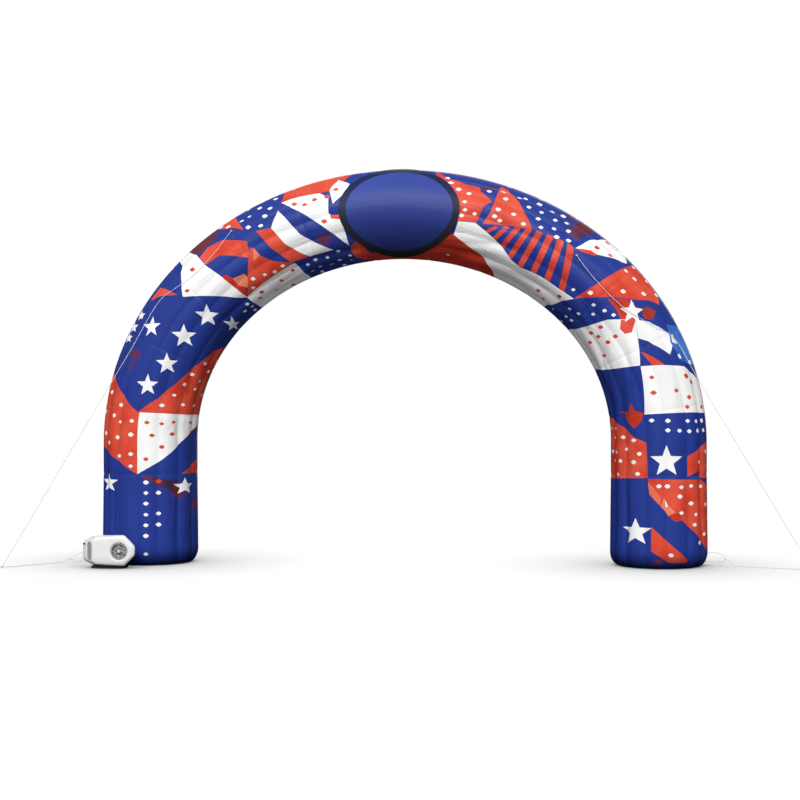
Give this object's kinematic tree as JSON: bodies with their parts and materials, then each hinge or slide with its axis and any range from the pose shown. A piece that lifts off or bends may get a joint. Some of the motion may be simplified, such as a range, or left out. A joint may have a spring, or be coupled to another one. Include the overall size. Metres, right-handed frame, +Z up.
{
  "type": "inflatable arch",
  "caption": "Inflatable fabric event arch with a bare oval name panel, a patchwork of stars, dots and stripes, guy ropes and an electric blower at its foot.",
  "frame": {"origin": "on the ground, at the middle of the footprint of the arch and its blower, the ropes left out", "axes": "+X along the arch's span, from the blower's foot to the other one; +Y through the arch, away from the side with the name panel and blower; +Z up"},
  "size_m": [7.9914, 1.2556, 3.9691],
  "materials": {
    "printed_cloth": "satin",
    "panel_cloth": "satin",
    "border_cloth": "satin",
    "sleeve_cloth": "satin",
    "webbing": "woven",
    "white_rope": "matt",
    "case_plastic": "satin",
    "grille_plastic": "matt",
    "tray_plastic": "matt"
  },
  "bodies": {
    "structure": {"arch_tube": "printed_cloth", "oval_panel": "panel_cloth", "oval_border": "border_cloth", "guy_tab_left": "webbing", "guy_tab_right": "webbing", "guy_knot_left": "white_rope", "guy_knot_right": "white_rope", "guy_rope_left": "white_rope", "guy_rope_right": "white_rope", "anchor_knot_left": "white_rope", "anchor_knot_right": "white_rope", "tether_line_left": "white_rope", "tether_line_right": "white_rope", "bridle_knot_left": "white_rope", "bridle_knot_right": "white_rope", "tether_arm_upper_left": "white_rope", "tether_arm_upper_right": "white_rope", "tether_arm_lower_left": "white_rope", "tether_arm_lower_right": "white_rope", "base_tab_upper_left": "webbing", "base_tab_upper_right": "webbing", "base_tab_lower_left": "webbing", "base_tab_lower_right": "webbing", "blower_housing": "case_plastic", "blower_base": "tray_plastic", "intake_guard": "grille_plastic", "side_vent": "grille_plastic", "power_switch": "tray_plastic", "cable_inlet": "tray_plastic", "outlet_collar": "grille_plastic", "air_sleeve": "sleeve_cloth"},
    "impeller": {"fan_impeller": "grille_plastic"}
  },
  "joints": [
    {"name": "fan_spin", "type": "hinge", "parent": "structure", "child": "impeller", "pos_m": [-2.712, -0.587, 0.173], "axis": [0, -1, 0], "continuous": true}
  ]
}
